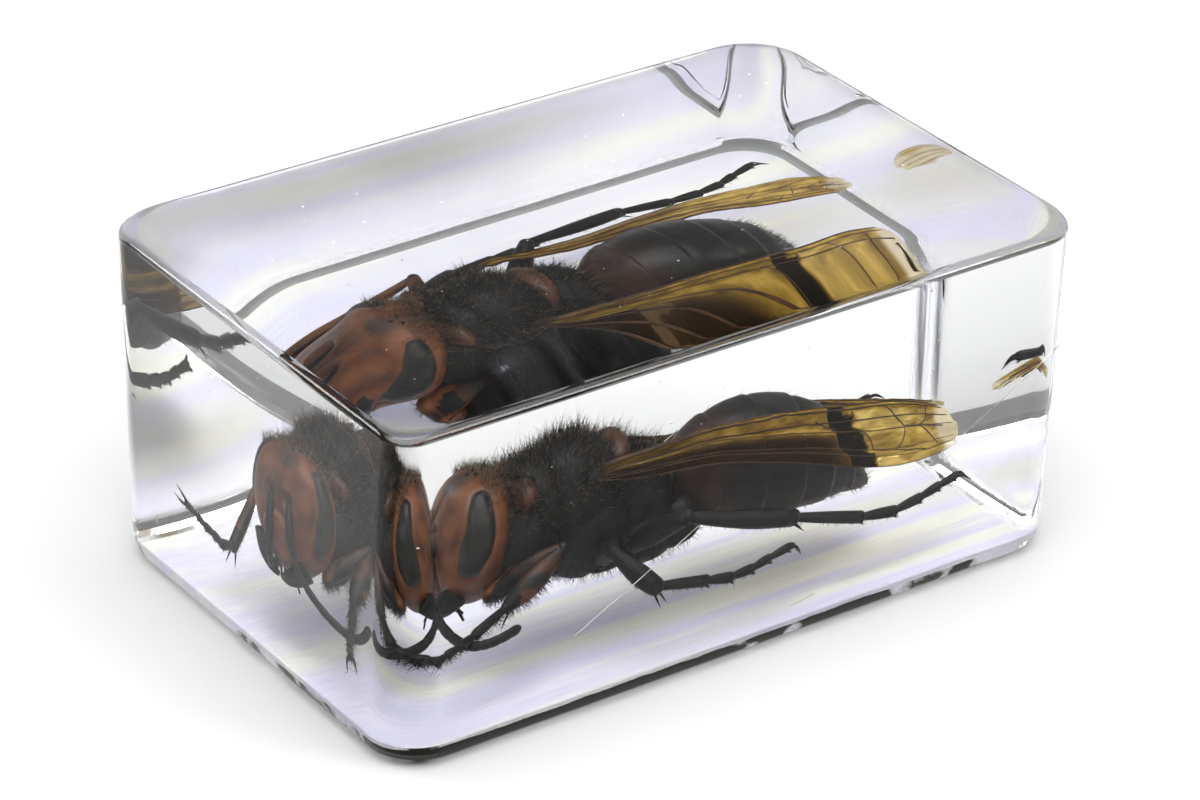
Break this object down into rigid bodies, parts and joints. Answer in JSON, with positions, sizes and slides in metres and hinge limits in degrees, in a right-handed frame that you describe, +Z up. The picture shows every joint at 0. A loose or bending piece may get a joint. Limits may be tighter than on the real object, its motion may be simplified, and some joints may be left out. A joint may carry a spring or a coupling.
{
  "type": "insect in resin block",
  "caption": "Clear cast resin block with rounded corners, eased edges and a gently pillowed top, lying on its broad face, with a dried hornet sealed inside.",
  "frame": {"origin": "middle of the base, at the surface that the block rests on", "axes": "+X along the length, away from the hornet's head; +Y along the width; +Z up through the thickness"},
  "size_m": [0.0604, 0.04, 0.0279],
  "materials": {
    "clear_resin": "water-clear cast resin, sanded and polished, lightly scuffed",
    "dark_chitin": "near-black chitin of the hornet's thorax, abdomen and legs, satin, sealed in the resin",
    "rust_chitin": "rust-brown chitin of the hornet's head, collar spot and shield, satin, sealed in the resin",
    "wing_membrane": "thin amber see-through membrane with darker veins, sealed in the resin",
    "body_hair": "fine dark body hairs with some pale ones, sealed in the resin"
  },
  "bodies": {
    "root": {"resin_block": "clear_resin"}
  },
  "joints": []
}
